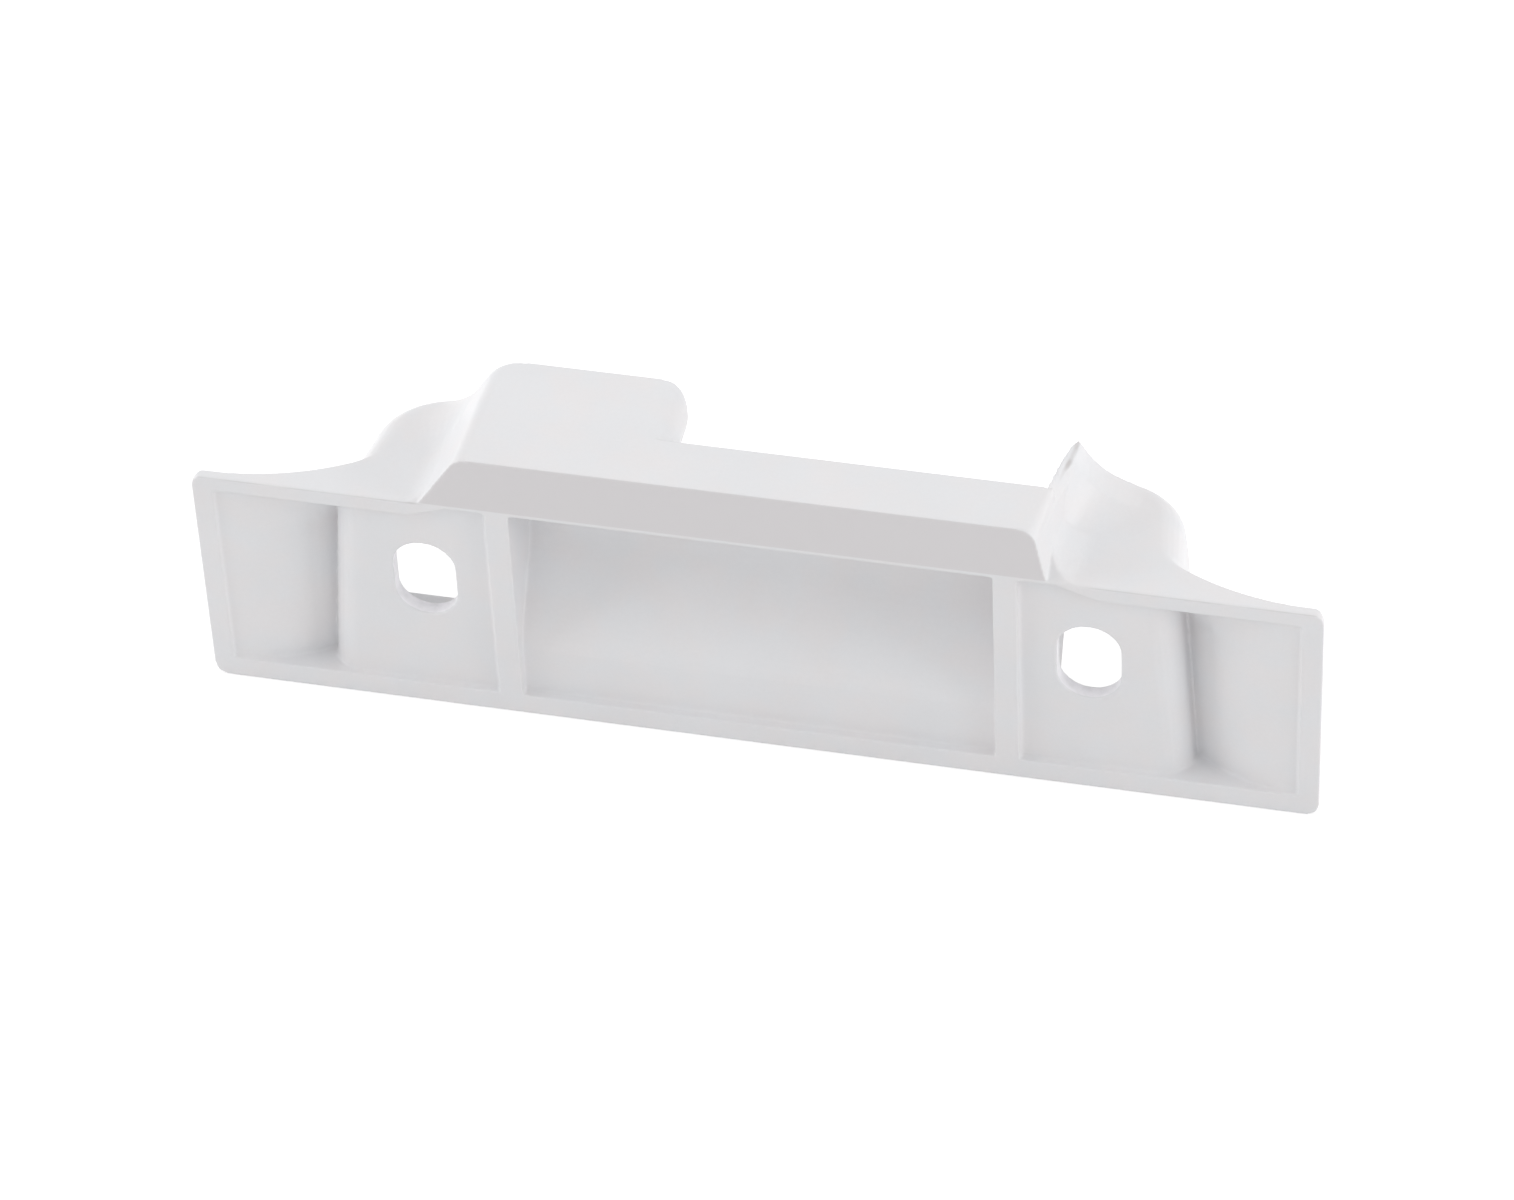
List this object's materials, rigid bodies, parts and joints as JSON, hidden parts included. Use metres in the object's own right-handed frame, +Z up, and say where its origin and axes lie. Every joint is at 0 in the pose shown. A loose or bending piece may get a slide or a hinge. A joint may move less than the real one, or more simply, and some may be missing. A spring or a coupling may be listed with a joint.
{
  "type": "refrigerator door pivot block",
  "caption": "White moulded block with two upright screw slots, swept hollow wings, two cheeks and a raised bridge with an overhanging tongue.",
  "frame": {"origin": "on the mounting face, midway between the centres of the two screw slots", "axes": "+X along the block towards the end without the tongue, +Y out of the mounting face towards the front, +Z up"},
  "size_m": [0.108, 0.0154, 0.032],
  "materials": {
    "white_plastic": "satin white moulding"
  },
  "bodies": {
    "root": {"pivot_block": "white_plastic"}
  },
  "joints": []
}
